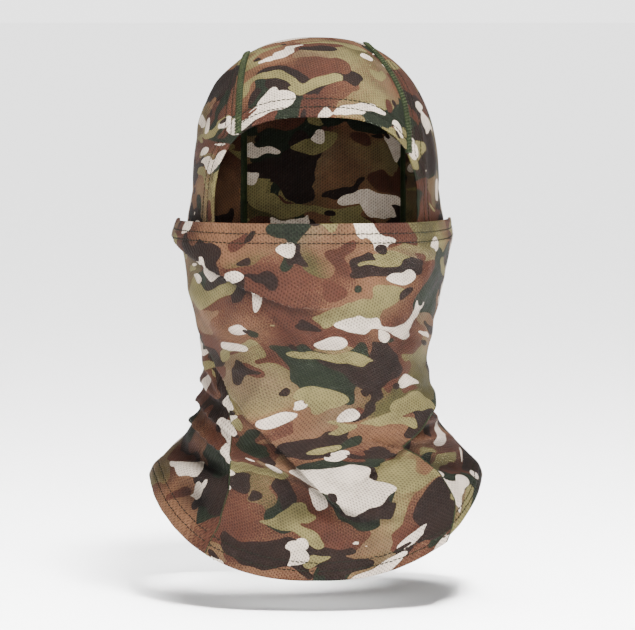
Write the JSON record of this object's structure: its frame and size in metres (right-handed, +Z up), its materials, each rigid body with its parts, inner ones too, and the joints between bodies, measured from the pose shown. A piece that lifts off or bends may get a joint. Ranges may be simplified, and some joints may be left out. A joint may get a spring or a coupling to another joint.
{
  "type": "face mask",
  "caption": "Pull-on knit face mask with an arched eye opening, a front panel whose turned top edge pulls down under the chin, and a flared neck.",
  "frame": {"origin": "underside of the cloth at the top of the crown, where the head carries the mask", "axes": "+Z up, the wearer faces -Y, the wearer's left hand is at +X"},
  "size_m": [0.216, 0.2124, 0.342],
  "materials": {
    "print": "printed knit in cream, khaki, green and brown",
    "lining": "turned-under knit, inner face",
    "seam_thread": "dark green cover thread",
    "stitch_thread": "dark olive sewing thread"
  },
  "bodies": {
    "hood": {"crown_panel": "print", "left_side_panel": "print", "right_side_panel": "print", "mask_panel": "print", "bib_panel": "print", "forehead_hem_turning": "lining", "back_hem_turning": "lining", "left_eye_hem_turning": "lining", "right_eye_hem_turning": "lining", "left_hem_turning": "lining", "right_hem_turning": "lining", "bib_hem_turning": "lining", "left_crown_seam": "seam_thread", "right_crown_seam": "seam_thread", "left_crown_seam_loops": "seam_thread", "right_crown_seam_loops": "seam_thread", "left_front_seam": "seam_thread", "right_front_seam": "seam_thread", "forehead_stitch_outer": "stitch_thread", "forehead_stitch_inner": "stitch_thread", "left_eye_stitch_outer": "stitch_thread", "left_eye_stitch_inner": "stitch_thread", "right_eye_stitch_outer": "stitch_thread", "right_eye_stitch_inner": "stitch_thread", "hem_stitch_outer": "stitch_thread", "hem_stitch_inner": "stitch_thread"},
    "mask_edge": {"mask_edge_band": "print", "mask_edge_turning": "lining", "mask_stitch_outer": "stitch_thread", "mask_stitch_inner": "stitch_thread"}
  },
  "joints": [
    {"name": "mask_pull_down", "type": "hinge", "parent": "hood", "child": "mask_edge", "pos_m": [0, -0.012, -0.13], "axis": [1, 0, 0], "range_deg": [0, 45], "deforming": ["mask_panel"]}
  ]
}
